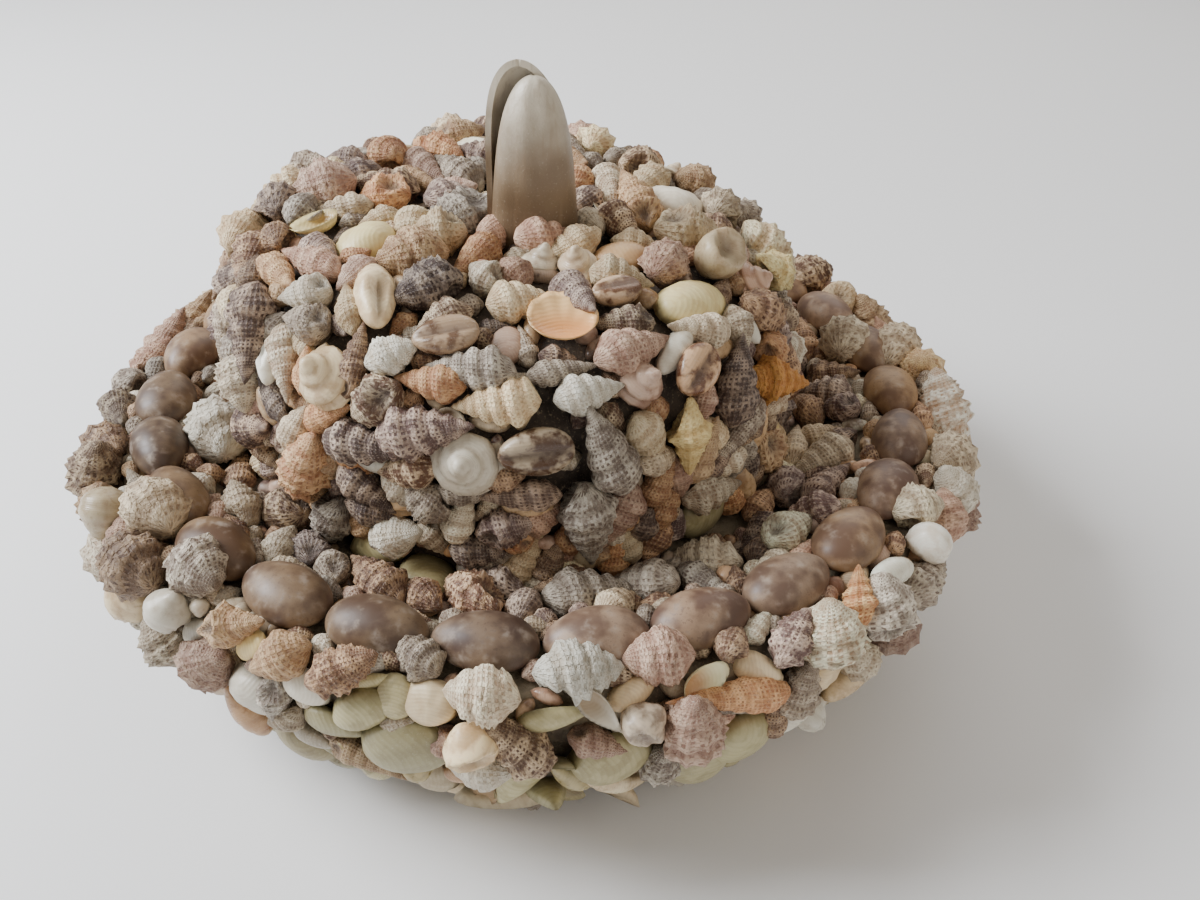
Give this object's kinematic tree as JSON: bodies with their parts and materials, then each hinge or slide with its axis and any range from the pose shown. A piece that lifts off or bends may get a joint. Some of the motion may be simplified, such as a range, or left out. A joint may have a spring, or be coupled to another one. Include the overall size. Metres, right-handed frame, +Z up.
{
  "type": "lidded shell bowl",
  "caption": "Wide, low round bowl with a drum-shaped lift-off lid, covered all over with sea shells, a ring of cowries on its rim and an upright half-shell knob.",
  "frame": {"origin": "centre of the flat underside, on the surface that the bowl stands on", "axes": "+Z up, -Y to the front, where the knob's front half shell faces"},
  "size_m": [0.3449, 0.3488, 0.2266],
  "materials": {
    "bowl_crust": "sea shells set in putty, mostly matt with some gloss",
    "lid_crust": "sea shells set in putty, mostly matt with some gloss",
    "cowrie": "smooth and glossy, mottled brown and grey",
    "knob_shell": "smooth satin cream shell"
  },
  "bodies": {
    "root": {"bowl": "bowl_crust", "lid": "lid_crust", "rim_cowrie_01": "cowrie", "rim_cowrie_02": "cowrie", "rim_cowrie_03": "cowrie", "rim_cowrie_04": "cowrie", "rim_cowrie_05": "cowrie", "rim_cowrie_06": "cowrie", "rim_cowrie_07": "cowrie", "rim_cowrie_08": "cowrie", "rim_cowrie_09": "cowrie", "rim_cowrie_10": "cowrie", "rim_cowrie_11": "cowrie", "rim_cowrie_12": "cowrie", "rim_cowrie_13": "cowrie", "rim_cowrie_14": "cowrie", "rim_cowrie_15": "cowrie", "rim_cowrie_16": "cowrie", "rim_cowrie_17": "cowrie", "rim_cowrie_18": "cowrie", "rim_cowrie_19": "cowrie", "rim_cowrie_20": "cowrie", "rim_cowrie_21": "cowrie", "rim_cowrie_22": "cowrie", "rim_cowrie_23": "cowrie", "rim_cowrie_24": "cowrie", "rim_cowrie_25": "cowrie", "rim_cowrie_26": "cowrie", "rim_cowrie_27": "cowrie", "knob_shell_front": "knob_shell", "knob_shell_back": "knob_shell"}
  },
  "joints": []
}
